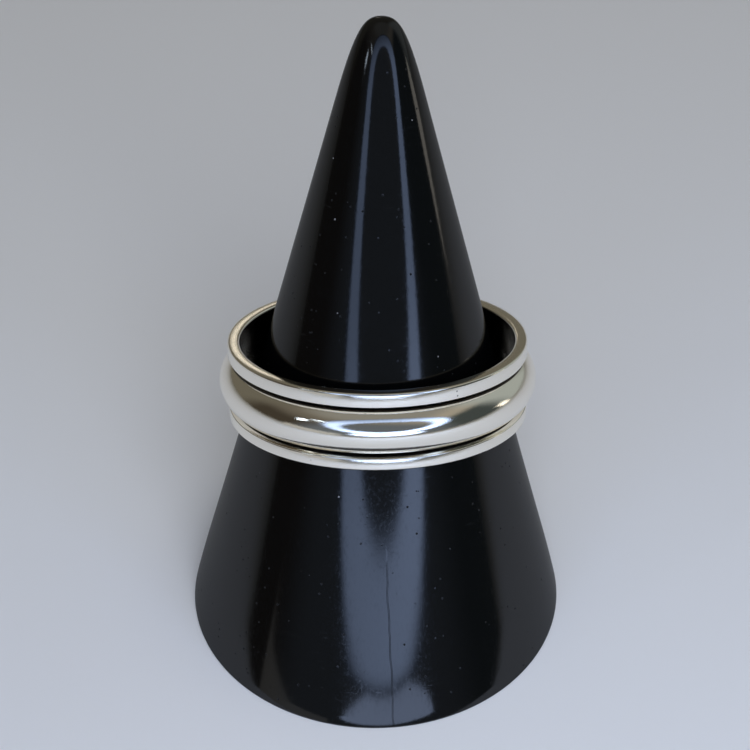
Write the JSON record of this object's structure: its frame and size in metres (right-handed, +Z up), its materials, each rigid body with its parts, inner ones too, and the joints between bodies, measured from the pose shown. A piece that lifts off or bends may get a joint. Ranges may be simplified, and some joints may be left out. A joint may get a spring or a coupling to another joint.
{
  "type": "fidget ring on a display cone",
  "caption": "Silver spinner ring, a half-round band turning freely between the rims of an inner band, seated on a leaning black display cone.",
  "frame": {"origin": "middle of the part's footprint box, on the surface that it stands on", "axes": "+Z up, +Y towards the back, the way the cone leans, +X to the right seen from the front"},
  "size_m": [0.0252, 0.0292, 0.038],
  "materials": {
    "band_silver": "polished silver with fine scratches",
    "spinner_silver": "bright polished silver",
    "black_plastic": "glossy black moulded plastic"
  },
  "bodies": {
    "stand": {"display_cone": "black_plastic", "inner_band": "band_silver"},
    "spinner": {"spinner_band": "spinner_silver"}
  },
  "joints": [
    {"name": "spinner_turn", "type": "hinge", "parent": "stand", "child": "spinner", "pos_m": [-0.00004, 0.00427, 0.01442], "axis": [-0.0175, 0.2935, 0.9558], "continuous": true}
  ]
}
